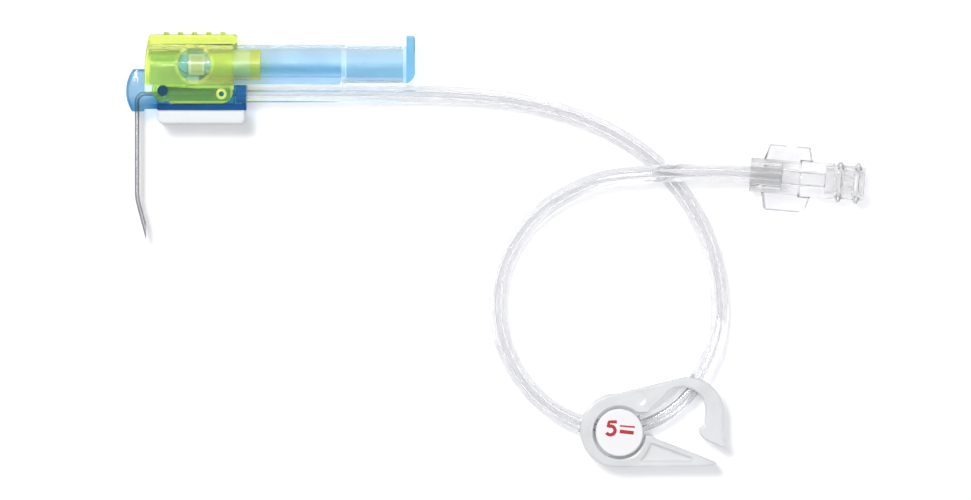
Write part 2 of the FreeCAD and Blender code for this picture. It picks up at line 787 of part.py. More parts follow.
# The pinch clamp: one strip bent round the disc, with a straight lower jaw and a hooked upper jaw
# Two numbers are a corner; four are an arc's middle point and its end.
CLAMP_UPPER = [
    (-5.2, 4.7), (-3.3, 5.75, -1.2, 6.65), (12.4, 10.0), (18.5, 8.0, 20.2, 2.8), (20.2, 0.0),
    (20.25, -1.1, 20.6, -2.2), (20.5, -2.9, 19.6, -3.05), (16.5, -1.55), (15.75, -0.55, 15.85, 0.6), (16.7, 1.0),
    (16.8, 3.1), (15.65, 6.9, 12.2, 8.25), (10.9, 8.1, 9.8, 7.5), (5.3, 2.95), (3.0, 3.6), (-3.5, 3.6),
]
CLAMP_LOWER = [
    (0.0, -7.0), (16.3, -6.8), (18.0, -6.6, 19.0, -6.25), (18.7, -6.0, 18.2, -5.85), (15.3, -4.6), (7.8, -1.75),
    (6.6, -1.1, 5.4, -0.2), (4.0, -3.0), (0.0, -5.0),
]
JAW_RECESS = [(6.4, -2.35), (14.2, -5.2), (14.2, -5.85), (4.3, -5.85), (5.6, -4.3, 6.4, -2.35)]


def flat_piece(name, sides, height):
    """A plate of the clamp's plan, closed back to its first corner."""
    here = first = Vector(*sides[0], 0)
    edges = []
    for side in sides[1:]:
        end = Vector(*side[-2:], 0)
        middle = Vector(*side[:2], 0)
        curve = Part.Arc(here, middle, end) if len(side) == 4 else Part.LineSegment(here, end)
        edges.append(curve.toShape())
        here = end
    if not here.isEqual(first, 1e-6):
        edges.append(Part.LineSegment(here, first).toShape())
    return own_shape(name, Part.Face(Part.Wire(edges)).extrude(Vector(0, 0, height.value)))


def upright(name, radius, height):
    item = document.addObject("Part::Cylinder", name)
    bind(item, "Radius", radius)
    bind(item, "Height", height)
    return item


bow_disc = upright("bow_disc", size.bow_outer, size.clamp_width)
jaws = joined("jaws", bow_disc, flat_piece("upper_jaw", CLAMP_UPPER, size.clamp_width),
              flat_piece("lower_jaw", CLAMP_LOWER, size.clamp_width))
bow_room = put(upright("bow_room", size.bow_inner, size.clamp_width), size.bow_shift, -size.bow_drop, 0)
throat = block("throat", (0, size.bow_outer + CUT_MARGIN), (-size.throat_bottom, size.throat_top),
               (0, size.clamp_width))
recess_top = size.clamp_width - size.recess_depth
recesses = [put(flat_piece(name, JAW_RECESS, size.recess_depth), 0, 0, level)
            for name, level in (("upper_recess", recess_top), ("lower_recess", 0))]
ejector_mark = put(upright("ejector_mark", size.ejector_radius, size.ejector_depth), size.ejector_x,
                   size.ejector_y, size.clamp_width - size.ejector_depth)
clamp_solid = cut("clamp_solid", jaws, joined("clamp_rooms", bow_room, throat, *recesses, ejector_mark))
clamp_place = Vector(size.clamp_x.value, size.clamp_y.value, 0)
channel_bar = own_shape("channel_bar", swept(tube_wire, size.clamp_channel.value))
channel_bar.Placement = Placement(-clamp_place, Rotation())
pinch_clamp = cut("pinch_clamp", clamp_solid, channel_bar)
put(pinch_clamp, size.clamp_x, size.clamp_y, 0)

# The disc that sits on the tubing inside the clamp
disc_height = (size.clamp_width - size.disc_thickness) / 2
disc = document.addObject("Part::Cylinder", "disc")
bind(disc, "Radius", size.bow_inner - size.disc_gap)
bind(disc, "Height", size.disc_thickness)
put(disc, size.clamp_x + size.bow_shift, size.clamp_y - size.bow_drop, disc_height)
disc_bore = own_shape("disc_bore", swept(tube_wire, tube_radius.value + size.disc_bore_clearance.value))
rating_disc = cut("rating_disc", disc, disc_bore)

NODES = [needle, needle_hub, foam_pad, housing, guide_core, needle_sleeve, extension_tube, luer_connector,
         pinch_clamp, rating_disc]

document.recompute()
for item in document.Objects:
    faults = {"Invalid", "Error"} & set(item.State)
    if faults:
        raise SystemExit(f"{item.Name} failed: {sorted(faults)}")
for item in NODES:
    if item.Shape.isNull() or not item.Shape.isValid() or len(item.Shape.Solids) != 1:
        raise SystemExit(f"{item.Name} is not one valid solid")

os.makedirs("parts", exist_ok=True)
for item in NODES:
    item.Label = item.Name
    item.Shape.exportStep(f"parts/{item.Label}.step")
    bounds = item.Shape.BoundBox
    print(f"{item.Label}: {item.Shape.Volume:.1f} mm3, x {bounds.XMin:.2f} to {bounds.XMax:.2f}, "
          f"y {bounds.YMin:.2f} to {bounds.YMax:.2f}, z {bounds.ZMin:.2f} to {bounds.ZMax:.2f}")
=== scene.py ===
# %% [markdown]
# A safety huber needle set in Blender. The set is a bent needle in a blue hub with a foam pad, a green
# housing that swings up, a light blue sleeve that slides down over the needle, and clear tubing with a
# pinch clamp, a round disc and a winged luer. The solids come ready from the CAD model and are the fixed
# frame here. This file copies those whose form is already right, rebuilds the others in finer surfaces, and
# gives each one its finish.

# %% Load the frame
import json
import math
from contextlib import contextmanager

import bmesh
import bpy
import numpy as np
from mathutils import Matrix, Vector


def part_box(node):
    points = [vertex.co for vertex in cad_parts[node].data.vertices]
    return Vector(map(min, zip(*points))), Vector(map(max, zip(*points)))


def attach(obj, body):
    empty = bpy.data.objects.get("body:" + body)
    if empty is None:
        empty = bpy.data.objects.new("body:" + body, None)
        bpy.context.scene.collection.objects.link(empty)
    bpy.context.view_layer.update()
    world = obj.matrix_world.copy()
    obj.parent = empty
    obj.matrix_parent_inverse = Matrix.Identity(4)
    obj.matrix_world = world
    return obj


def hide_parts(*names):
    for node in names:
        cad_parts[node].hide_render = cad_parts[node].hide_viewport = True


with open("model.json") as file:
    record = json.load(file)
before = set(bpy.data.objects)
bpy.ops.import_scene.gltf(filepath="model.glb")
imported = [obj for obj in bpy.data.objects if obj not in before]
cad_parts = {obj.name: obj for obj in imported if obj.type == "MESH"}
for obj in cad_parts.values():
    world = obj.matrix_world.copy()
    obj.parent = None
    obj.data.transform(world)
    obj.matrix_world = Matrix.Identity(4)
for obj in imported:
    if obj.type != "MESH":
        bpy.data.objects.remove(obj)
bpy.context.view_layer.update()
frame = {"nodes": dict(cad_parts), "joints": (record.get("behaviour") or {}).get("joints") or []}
MM = 0.001

# %% [markdown]
# The set lies on a table and is seen from straight above. A long lens far away keeps the sides of the
# housing hidden, as in a catalogue picture. The picture is 971 by 500 pixels, and 5.25 pixels are one
# millimetre at the height of the needle. The pivot pin shows at a known place, and every other place is
# worked out from it.

# %% Camera
PIXELS_PER_MM = 5.25
PICTURE = (971, 500)
PIVOT_PIXEL = (163.6, 91.3)
pivot = Vector(frame["joints"][0]["pos_m"])


def at_pixel(x, y, z=pivot.z):
    """The point on the level z that shows at a picture place: pixels from the pivot pin, over the scale."""
    step = MM / PIXELS_PER_MM
    return Vector((pivot.x + (x - PIVOT_PIXEL[0]) * step, pivot.y - (y - PIVOT_PIXEL[1]) * step, z))


LENS = 300.0
SENSOR = 36.0
CAMERA_REACH = 10
picture_width = PICTURE[0] / PIXELS_PER_MM * MM
camera_data = bpy.data.cameras.new("camera")
camera_data.lens = LENS
camera_data.sensor_width = SENSOR
camera_data.clip_end = CAMERA_REACH
camera = bpy.data.objects.new("camera", camera_data)
camera_height = picture_width * LENS / SENSOR
camera.location = at_pixel(PICTURE[0] / 2, PICTURE[1] / 2) + Vector((0, 0, camera_height))
bpy.context.scene.collection.objects.link(camera)
bpy.context.scene.camera = camera
print("camera height, m:", round(camera.location.z, 3))

# %% [markdown]
# Sums in a material read best as sums. A Signal wraps a socket, and plus, minus, times and the rest each
# add one Math node. A Finish is one material with its Principled shader; its node method makes any other
# node from its type, its settings and what its sockets get.

# %% Shader helper


def feed(tree, socket, item):
    """Link a Signal to a socket, or set the socket to a plain value."""
    if isinstance(item, Signal):
        tree.links.new(item.socket, socket)
    else:
        socket.default_value = item


class Signal:
    """A socket that Python's sums work on."""

    def __init__(self, tree, socket):
        self.tree = tree
        self.socket = socket

    def sum(self, operation, *items):
        node = self.tree.nodes.new("ShaderNodeMath")
        node.operation = operation
        for socket, item in zip(node.inputs, items):
            feed(self.tree, socket, item)
        return Signal(self.tree, node.outputs[0])

    def __add__(self, other):
        return self.sum("ADD", self, other)

    def __radd__(self, other):
        return self.sum("ADD", other, self)

    def __sub__(self, other):
        return self.sum("SUBTRACT", self, other)

    def __rsub__(self, other):
        return self.sum("SUBTRACT", other, self)

    def __mul__(self, other):
        return self.sum("MULTIPLY", self, other)

    def __rmul__(self, other):
        return self.sum("MULTIPLY", other, self)

    def __truediv__(self, other):
        return self.sum("DIVIDE", self, other)

    def root(self):
        return self.sum("SQRT", self)

    def size(self):
        return self.sum("ABSOLUTE", self)

    def at_most(self, other):
        return self.sum("MINIMUM", self, other)

    def at_least(self, other):
        return self.sum("MAXIMUM", self, other)

    def between(self, low, high):
        """0 below low, 1 above high, and an even rise between."""
        return ((self - low) / (high - low)).at_least(0.0).at_most(1.0)


class Finish:
    """A material with one Principled shader."""

    def __init__(self, name, color, **sockets):
        self.material = bpy.data.materials.new(name)
        self.material.use_nodes = True
        self.tree = self.material.node_tree
        self.shader = self.tree.nodes["Principled BSDF"]
        self.tone = shade(color)
        self.set("Base Color", self.tone)
        for socket, item in sockets.items():
            self.set(socket.replace("_", " "), item)

    def set(self, socket, item):
        feed(self.tree, self.shader.inputs[socket], item)

    def node(self, kind, settings=None, output=0, **sockets):
        """Any node: its type, its settings, the output wanted, and values or links for its sockets."""
        node = self.tree.nodes.new(kind)
        for name, value in (settings or {}).items():
            setattr(node, name, value)
        for name, item in sockets.items():
            feed(self.tree, node.inputs[name.replace("_", " ")], item)
        return Signal(self.tree, node.outputs[output])

    def place(self):
        return self.node("ShaderNodeTexCoord", output="Object")

    def along(self, axis):
        """The distance of a surface point from the object's origin along X, Y or Z, in metres."""
        return self.node("ShaderNodeSeparateXYZ", output=axis, Vector=self.place())

    def noise(self, size, detail=2.0, roughness=0.5):
        """Soft noise whose grains are about size metres across."""
        return self.node("ShaderNodeTexNoise", Vector=self.place(), Scale=1 / size, Detail=detail,
                         Roughness=roughness)

    def mixed(self, share, first, second):
        """A colour between two, by share."""
        node = self.tree.nodes.new("ShaderNodeMix")
        node.data_type = "RGBA"
        feed(self.tree, node.inputs["Factor"], share)
        feed(self.tree, node.inputs[6], first)
        feed(self.tree, node.inputs[7], second)
        return Signal(self.tree, node.outputs[2])

    def paint(self, *layers):
        """Lay tones over the finish's own in turn. Each layer is a share, which covers at 1, and a tone."""
        for share, tone in layers:
            self.tone = self.mixed(share, self.tone, tone if isinstance(tone, Signal) else shade(tone))
        self.set("Base Color", self.tone)

    def bump(self, height, distance, strength=1.0):
        self.set("Normal", self.node("ShaderNodeBump", Height=height, Distance=distance, Strength=strength))

    def let_lamps_through(self, color):
        """For rays from a lamp alone, a tinted Transparent shader takes this shader's place."""
        nodes, links = self.tree.nodes, self.tree.links
        window = nodes.new("ShaderNodeBsdfTransparent")
        window.inputs["Color"].default_value = shade(color)
        rays = nodes.new("ShaderNodeLightPath")
        either = nodes.new("ShaderNodeMixShader")
        links.new(rays.outputs["Is Shadow Ray"], either.inputs[0])
        links.new(self.shader.outputs[0], either.inputs[1])
        links.new(window.outputs[0], either.inputs[2])
        links.new(either.outputs[0], nodes["Material Output"].inputs["Surface"])


# The standard screen curve is straight below the toe, and a power above it.
SCREEN_TOE = 0.04045
SCREEN_SLOPE = 12.92
SCREEN_OFFSET = 0.055
SCREEN_POWER = 2.4


def linear(color):
    """A colour as seen, 0 to 255, made linear light: the standard screen curve, undone."""
    share = np.array(color, float) / 255
    low = share / SCREEN_SLOPE
    high = ((share + SCREEN_OFFSET) / (1 + SCREEN_OFFSET)) ** SCREEN_POWER
    return tuple(float(x) for x in np.where(share <= SCREEN_TOE, low, high))


def shade(color):
    return (*linear(color), 1.0)


print("a screen's middle grey as linear light:", round(linear((128, 128, 128))[0], 3))

# %% [markdown]
# Moulded plastic is never one flat tone. Its thickness, flow and polish vary a little, so each plastic
# here gets a slow change of tone and a fine change of gloss. Light passes through all of them: the housing
# shows the sleeve inside it, and the sleeve shows the core. Each wall colours what is behind it, so the
# colours written here are paler than what two or three walls together show.

# %% Plastics
TONE_GRAIN = 5.0 * MM
TONE_SPAN = (0.3, 0.7)
GLOSS_GRAIN = 0.9 * MM
GLOSS_SPREAD = 0.6
WAVE_GRAIN = 2.5 * MM
WAVE_DEPTH = 0.03 * MM


def plastic(name, color, deep, through, rough, lamp_tint, ior=1.46):
    """Translucent plastic: two tones mixed by slow noise, and a share of the light let through."""
    finish = Finish(name, color, IOR=ior, Transmission_Weight=through)
    slow = finish.noise(TONE_GRAIN).between(*TONE_SPAN)
    finish.paint((slow, deep))
    finish.set("Roughness", rough + (finish.noise(GLOSS_GRAIN, 3.0) - 0.5) * rough * GLOSS_SPREAD)
    finish.bump(finish.noise(WAVE_GRAIN, 1.0), WAVE_DEPTH)
    finish.let_lamps_through(lamp_tint)
    print("plastic:", name)
    return finish


luer_clear = plastic("luer_clear", (247, 247, 247), (239, 239, 240), through=0.93, rough=0.04,
                     lamp_tint=(206, 206, 207), ior=1.49)
clamp_white = plastic("clamp_white", (249, 250, 251), (242, 243, 245), through=0.25, rough=0.34,
                      lamp_tint=(172, 174, 178))
clamp_white.set("Coat Weight", 0.5)
clamp_white.set("Coat Roughness", 0.1)

# %% [markdown]
# The housing is one moulding of one dye, but it is yellow where it is seen alone, and green over the blue
# hub. Round its window and its small snap hole, and along its ears' edges, a paler tone is a painted
# highlight, and a faint emission there is a painted glow, though the housing is no lamp. Tones go by the
# distance from the pivot pin, in millimetres: each pair of numbers says where a tone starts and where it is
# full.

# %% The housing's green
TOP_WALL = (8.9, 9.3)
TOP_TONE = (210, 219, 128)
EARS = (1.2, 0.8)
EAR_TONE = (192, 230, 146)
EAR_FOOT = (-1.85, -2.0)
EAR_END = (12.8, 12.95)
# Painted highlight: a paler tone along the ears' edges.
EAR_EDGE_HIGHLIGHT_TONE = (226, 240, 150)
EAR_EDGE_HIGHLIGHT_SHARE = 0.7
# Painted highlight: a paler tone on the rims of the window and the snap hole.
RIM_HIGHLIGHT_TONE = (246, 252, 190)
RIM_HIGHLIGHT_SHARE = 0.75
RIM_BLUR = 0.12
# Painted glow: an emission colour on the rims and the ears' edges; the housing is no lamp.
PAINTED_GLOW_COLOR = (0.44, 0.42, 0.04, 1.0)
WINDOW_GLOW = 0.1
SNAP_GLOW = 0.6
EAR_GLOW = 0.25
# The place along X and Y of a round opening, and the inner and outer radius of its rim.
WINDOW = (6.0, 5.05, 3.25, 3.7)
SNAP = (11.14, -0.57, 0.5, 0.95)


def from_pivot(finish):
    """How far a surface point is from the pivot pin along X and along Y, in metres."""
    return finish.along("X") - pivot.x, finish.along("Y") - pivot.y


def distance(x, y):
    return (x * x + y * y).root()


def rise(way, start, end):
    """0 at the start and 1 at the end, which are millimetres along a way in metres."""
    return way.between(start * MM, end * MM)


def rim(x, y, inner, outer):
    """1 on a ring about a spot near the pivot, all in millimetres, with soft sides."""
    reach = distance(housing_x - x * MM, housing_y - y * MM)
    return rise(reach, inner - RIM_BLUR, inner) * rise(reach, outer + RIM_BLUR, outer)


housing_green = plastic("housing_green", (234, 242, 172), (226, 238, 152), through=0.9, rough=0.1,
                        lamp_tint=(240, 243, 220), ior=1.3)
housing_x, housing_y = from_pivot(housing_green)
window_rim, snap_rim = rim(*WINDOW), rim(*SNAP)
over_hub = rise(housing_y, *EARS)
ear_edge = rise(housing_y, *EAR_FOOT).at_least(rise(housing_x, *EAR_END))
# The rims and the ears' edges get a painted highlight laid over the housing's tones.
housing_green.paint(
    (rise(housing_y, *TOP_WALL), TOP_TONE),
    (over_hub, housing_green.mixed(ear_edge * EAR_EDGE_HIGHLIGHT_SHARE, shade(EAR_TONE), shade(EAR_EDGE_HIGHLIGHT_TONE))),
    (window_rim.at_least(snap_rim) * RIM_HIGHLIGHT_SHARE, RIM_HIGHLIGHT_TONE),
)
# The painted glow: how strongly each rim and each ear edge glows.
painted_glow = (window_rim * WINDOW_GLOW + snap_rim * SNAP_GLOW + ear_edge * over_hub * EAR_GLOW).at_most(1.0)
housing_green.set("Emission Color", housing_green.mixed(painted_glow, (0.0, 0.0, 0.0, 1.0), PAINTED_GLOW_COLOR))
housing_green.set("Emission Strength", 1.0)

# %% [markdown]
# The core is the cup inside the sleeve. Its end ring is a strong yellow, which the blue sleeve in front
# turns greener. The part inside the housing is a duller green than the tube between housing and ring, and
# a small pale frame shows where the sleeve's catch sits, in the middle of the housing's window.

# %% The core's green
CORE_COVERED = (9.4, 9.0)
CORE_COVERED_TONE = (208, 224, 168)
CORE_RING = (16.4, 16.6)
CORE_RING_TONE = (255, 238, 0)
CATCH = (6.4, 5.05)
CATCH_OUTER = (1.4, 1.95)
CATCH_INNER = (1.0, 1.5)
CATCH_TONE = (240, 250, 226)
CATCH_SHARE = 0.6
CATCH_BLUR = 0.1

core_green = plastic("core_green", (255, 250, 152), (248, 244, 142), through=0.4, rough=0.2,
                     lamp_tint=(240, 244, 200))
core_x, core_y = from_pivot(core_green)
catch_x, catch_y = ((way - place * MM).size() for way, place in zip((core_x, core_y), CATCH))


def inside(half_x, half_y):
    """1 inside a rectangle about the catch, with soft sides, from half its sides in millimetres."""
    return rise(catch_x, half_x + CATCH_BLUR, half_x) * rise(catch_y, half_y + CATCH_BLUR, half_y)


core_green.paint(
    (rise(core_x, *CORE_COVERED), CORE_COVERED_TONE),
    ((inside(*CATCH_OUTER) - inside(*CATCH_INNER)) * CATCH_SHARE, CATCH_TONE),
    (rise(core_x, *CORE_RING), CORE_RING_TONE),
)

# %% [markdown]
# The hub changes colour along its length: its nose is thin, glassy and pale with a deeper rim, while its
# base is thick and deep blue, and a little lighter above the bottom plate.

# %% The hub's blue
NOSE = (-1.0, -3.4)
NOSE_TONE = (168, 204, 224)
NOSE_FOOT = (-0.6, -2.6)
NOSE_FOOT_TONE = (110, 168, 202)
NOSE_ROUND_RIM = (6.45, 6.75)
NOSE_TOP_RIM = (3.6, 3.9)
NOSE_RIM_TONE = (52, 136, 190)
NOSE_RIM_SHARE = 0.8
ABOVE_PLATE = (-2.5, -2.3)
ABOVE_PLATE_TONE = (66, 166, 222)

hub_blue = plastic("hub_blue", (5, 114, 182), (1, 98, 170), through=0.85, rough=0.08,
                   lamp_tint=(205, 214, 226), ior=1.35)
hub_x, hub_y = from_pivot(hub_blue)
nose_clear = hub_blue.mixed(rise(hub_y, *NOSE_FOOT), shade(NOSE_TONE), shade(NOSE_FOOT_TONE))
nose_rim = rise(distance(hub_x, hub_y), *NOSE_ROUND_RIM).at_least(rise(hub_y, *NOSE_TOP_RIM))
nose = hub_blue.mixed(nose_rim * NOSE_RIM_SHARE, nose_clear, shade(NOSE_RIM_TONE))
hub_blue.paint((rise(hub_y, *ABOVE_PLATE), ABOVE_PLATE_TONE), (rise(hub_x, *NOSE), nose))

# %% [markdown]
# The sleeve is pale above. Below its middle a band of painted shade darkens it, and in the rails beside its
# slot it is nearly clear, where light goes straight through flat walls. Its mouth is a touch greener, a
# pale line of painted highlight marks its shoulder, and the finger flange, seen on edge, is the deepest.

# %% The sleeve's light blue
SLEEVE_AXIS = 5.05
# Painted shade: a darker band across the lower half of the sleeve, a little lighter under the grip.
SHADE_BAND = (-0.7, 0.9)
SHADE_BAND_END = (2.6, 2.4)
SHADE_BAND_TONE = (172, 205, 218)
GRIP = (33.8, 34.6)
GRIP_SHADE_BAND_TONE = (186, 212, 222)
RAILS = (2.4, 2.6)
RAIL_TONE = (214, 224, 236)
MOUTH = (5.4, 3.6)
MOUTH_TONE = (196, 224, 226)
# Painted highlight: a pale line across the sleeve's shoulder.
SHOULDER_START = (33.8, 34.0)
SHOULDER_END = (34.9, 34.7)
SHOULDER_HIGHLIGHT_TONE = (244, 250, 252)
SHOULDER_HIGHLIGHT_SHARE = 0.8
FLANGE = (46.1, 46.4)
FLANGE_TONE = (142, 186, 206)

sleeve_blue = plastic("sleeve_blue", (221, 233, 238), (214, 228, 236), through=0.93, rough=0.05,
                      lamp_tint=(228, 238, 246), ior=1.25)
sleeve_x, sleeve_y = from_pivot(sleeve_blue)
drop = SLEEVE_AXIS * MM - sleeve_y
sleeve_blue.paint(
    # The painted shade band.
    (rise(drop, *SHADE_BAND) * rise(drop, *SHADE_BAND_END),
     sleeve_blue.mixed(rise(sleeve_x, *GRIP), shade(SHADE_BAND_TONE), shade(GRIP_SHADE_BAND_TONE))),
    (rise(drop, *RAILS), RAIL_TONE),
    (rise(sleeve_x, *MOUTH), MOUTH_TONE),
    # The painted highlight at the shoulder.
    (rise(sleeve_x, *SHOULDER_START) * rise(sleeve_x, *SHOULDER_END) * SHOULDER_HIGHLIGHT_SHARE, SHOULDER_HIGHLIGHT_TONE),
    (rise(sleeve_x, *FLANGE), FLANGE_TONE),
)

# %% [markdown]
# The other pieces are plainer. The tubing is clear soft PVC, whose wall bends light strongly. The disc is
# satin and its print is matt ink. The foam shows small round cells, and the needle is drawn steel, with a
# grain that is fine across the tube and long along it.

# %% Tubing, disc, ink, foam and steel
FOAM_CELLS_PER_METRE = 3000.0
STEEL_GRAIN_PER_METRE = (9000.0, 400.0, 9000.0)

tubing = Finish("tubing_clear", (240, 240, 241), IOR=1.48, Transmission_Weight=0.97)
tubing.set("Roughness", 0.02 + tubing.noise(2.0 * MM) * 0.02)
tubing.let_lamps_through((188, 188, 190))

disc_white = Finish("disc_white", (253, 253, 255))
disc_white.set("Roughness", 0.3 + disc_white.noise(1.5 * MM) * 0.15)

ink_red = Finish("ink_red", (190, 16, 44))
ink_red.set("Roughness", 0.4 + ink_red.noise(0.5 * MM) * 0.1)

foam = Finish("foam_white", (250, 253, 255), Roughness=0.9)
cells = foam.node("ShaderNodeTexVoronoi", {"feature": "F1"}, "Distance", Vector=foam.place(),
                  Scale=FOAM_CELLS_PER_METRE)
foam.paint((cells, (242, 247, 252)))
foam.bump(cells, 0.02 * MM, 0.3)

steel = Finish("needle_steel", (166, 167, 171), Metallic=1.0)
grain = steel.node("ShaderNodeMapping", Vector=steel.place(), Scale=STEEL_GRAIN_PER_METRE)
drawn = steel.node("ShaderNodeTexNoise", Vector=grain, Scale=1.0, Detail=2.0)
steel.set("Roughness", 0.18 + drawn * 0.14)
print("finishes:", len(bpy.data.materials))

# %% [markdown]
# Most pieces are mouldings, and their CAD solids already have the true form. Each solid is copied, and the
# copy's loose triangles are merged back into faces, so that it can be worked on as a mesh. The copy stands
# for the solid, which is kept for the physics.

# %% Copies of solids
POINT_GAP = 1e-6
FLAT_ANGLE = math.radians(1.0)


@contextmanager
def opened(mesh):
    """Lend a mesh as a form whose points, edges and faces can be changed, and put the form back."""
    form = bmesh.new()
    form.from_mesh(mesh)
    yield form
    form.to_mesh(mesh)
    form.free()


def merged_copy(node, name):
    """A solid's mesh with its doubles merged and its flat faces joined."""
    mesh = frame["nodes"][node].data.copy()
    mesh.name = name
    with opened(mesh) as form:
        bmesh.ops.remove_doubles(form, verts=form.verts, dist=POINT_GAP)
        bmesh.ops.dissolve_limit(form, angle_limit=FLAT_ANGLE, verts=form.verts, edges=form.edges)
    mesh.materials.clear()
    piece = bpy.data.objects.new(name, mesh)
    bpy.context.scene.collection.objects.link(piece)
    return piece


def smooth(piece, angle=35.0):
    """Smooth shading, except across edges sharper than the angle."""
    mesh = piece.data
    mesh.polygons.foreach_set("use_smooth", np.ones(len(mesh.polygons), bool))
    with opened(mesh) as form:
        for edge in form.edges:
            edge.smooth = len(edge.link_faces) == 2 and edge.calc_face_angle(0.0) < math.radians(angle)
    return piece


def finished(piece, finish, body, slot, *nodes):
    """Give a piece its material and its body, and hide the nodes that it stands for; the slot is not used.
    """
    piece.data.materials.append(finish.material)
    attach(piece, body)
    if nodes:
        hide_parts(*nodes)
    print("made", piece.name, "with", len(piece.data.polygons), "faces")
    return piece


# %% [markdown]
# A moulding has no sharp edges, so a Bevel modifier rounds every hard edge that has room for it. The sleeve
# stays unrounded, because a rounded step at its shoulder shows as a dark band through the clear wall.

# %% Mouldings with rounded edges
ROOM = 2.4


def soft_edges(piece, width, segments):
    """Round the hard edges that have room: both their faces are more than ROOM roundings broad, where the
    breadth of a face is its area over the edge's length. The rest, round small marks, stay sharp."""
    with opened(piece.data) as form:
        weight = form.edges.layers.float.new("bevel_weight_edge")
        for edge in form.edges:
            broad = all(face.calc_area() > ROOM * width * edge.calc_length() for face in edge.link_faces)
            edge[weight] = float(broad and not edge.smooth)
    bevel = piece.modifiers.new("soft_edges", "BEVEL")
    bevel.width = width
    bevel.segments = segments
    bevel.limit_method = "WEIGHT"
    bevel.use_clamp_overlap = False
    bevel.harden_normals = True


def moulding(node, name, edge, finish, body, slot, segments=2, angle=35.0):
    """A copy of a solid, its hard edges rounded by edge millimetres. The angle tells them from curves."""
    piece = smooth(merged_copy(node, name), angle)
    if edge:
        soft_edges(piece, edge * MM, segments)
    return finished(piece, finish, body, slot, node)


moulding("housing", "housing_shell", 0.14, housing_green, "housing", "green_housing")
moulding("guide_core", "core_cup", 0.12, core_green, "housing", "green_core")
moulding("needle_hub", "hub_moulding", 0.14, hub_blue, "hub", "blue_hub")
moulding("needle_sleeve", "sleeve_shell", 0, sleeve_blue, "sleeve", "light_blue_sleeve", angle=18.0)
luer = moulding("luer_connector", "luer_body", 0.24, luer_clear, "hub", "clear_luer", 3)
disc = moulding("rating_disc", "disc_body", 0.35, disc_white, "hub", "white_disc", 3)

# %% [markdown]
# The clamp is a soft, thick moulding with generous edges all round, also where the tubing passes through
# it. Rounding each edge by a rule would tangle there. So its solid is turned into small even faces, and
# these are smoothed: every point moves towards the middle of its neighbours, which rounds the edges alone.

# %% The clamp
CLAMP_GRAIN = 0.16 * MM
CLAMP_ROUNDS = 20


def softened_copy(node, name, grain, rounds, finish, body, slot):
    """A copy of a solid in small faces of one size, smoothed a number of rounds."""
    piece = merged_copy(node, name)
    even = piece.modifiers.new("even_faces", "REMESH")
    even.mode = "VOXEL"
    even.voxel_size = grain
    even.use_smooth_shade = True
    soft = piece.modifiers.new("soft", "SMOOTH")
    soft.factor = 0.5
    soft.iterations = rounds
    made = bpy.data.meshes.new_from_object(piece.evaluated_get(bpy.context.evaluated_depsgraph_get()))
    piece.modifiers.clear()
    piece.data = made
    return finished(piece, finish, body, slot, node)


clamp = softened_copy("pinch_clamp", "clamp_body", CLAMP_GRAIN, CLAMP_ROUNDS, clamp_white,
                      "hub", "frosted_clamp")

# %% [markdown]
# Tubes come from one idea: a ring of points carried along a path. The tubing, its bore, the needle and
# its bevelled point are all such grids, whose two parameters are the place along the path and the angle
# round it.

# %% Surfaces from grids


def surface(name, points, faces):
    """A smooth mesh object from an array of points and an array of faces."""
    mesh = bpy.data.meshes.new(name)
    mesh.from_pydata(points.tolist(), [], faces.tolist())
    mesh.polygons.foreach_set("use_smooth", np.ones(len(mesh.polygons), bool))
    mesh.update()
    piece = bpy.data.objects.new(name, mesh)
    bpy.context.scene.collection.objects.link(piece)
    return piece


def outward(piece):
    """Turn the faces outwards, by the sign of the volume that the mesh encloses."""
    with opened(piece.data) as form:
        if form.calc_volume(signed=True) < 0:
            bmesh.ops.reverse_faces(form, faces=form.faces)
    return piece


def carried_rings(path, radius, sides):
    """Rings of points round a path. Each ring lies across the path, and turns as little as it can: the
    sideways direction of one ring is that of the ring before, less its share along the new direction."""
    along = np.gradient(path, axis=0)
    along /= np.linalg.norm(along, axis=1)[:, None]
    side = np.zeros_like(path)
    side[0] = np.cross(along[0], (0, 0, 1))
    for n in range(1, len(path)):
        side[n] = side[n - 1] - along[n] * (side[n - 1] @ along[n])
        side[n] /= np.linalg.norm(side[n])
    up = np.cross(along, side)
    turn = np.linspace(0, 2 * math.pi, sides, endpoint=False)
    ring = side[:, None] * np.cos(turn)[None, :, None] + up[:, None] * np.sin(turn)[None, :, None]
    return path[:, None] + ring * radius


def ring_faces(rings, sides, first=0, flip=False):
    """Four-cornered faces between neighbouring rings of a grid of rings by sides."""
    n, m = np.meshgrid(np.arange(rings - 1), np.arange(sides), indexing="ij")
    after = (m + 1) % sides
    quads = np.stack([n * sides + m, n * sides + after, (n + 1) * sides + after, (n + 1) * sides + m], -1)
    quads = quads.reshape(-1, 4) + first
    return quads[:, ::-1] if flip else quads


def hollow(name, outer, inner):
    """A tube with a bore from two grids of rings, joined by a flat ring of faces at each end."""
    rings, sides = outer.shape[:2]
    inner_first = rings * sides
    last = (rings - 1) * sides
    m = np.arange(sides)
    after = (m + 1) % sides
    near = np.stack([m, inner_first + m, inner_first + after, after], -1)
    far = np.stack([last + m, last + after, inner_first + last + after, inner_first + last + m], -1)
    points = np.concatenate([outer.reshape(-1, 3), inner.reshape(-1, 3)])
    faces = [ring_faces(rings, sides, 0, True), ring_faces(rings, sides, inner_first), near, far]
    return outward(surface(name, points, np.concatenate(faces)))


print("faces of two rings of four:", ring_faces(2, 4).tolist())

# %% [markdown]
# The needle is 0.9 mm steel tube. It leaves the hub's socket level, turns down through the hub, and ends
# in a gently bent heel. Its point is ground flat along the shaft, so its opening faces sideways and cuts no
# core out of the port's septum. Each line along the tube simply ends where it meets that flat.

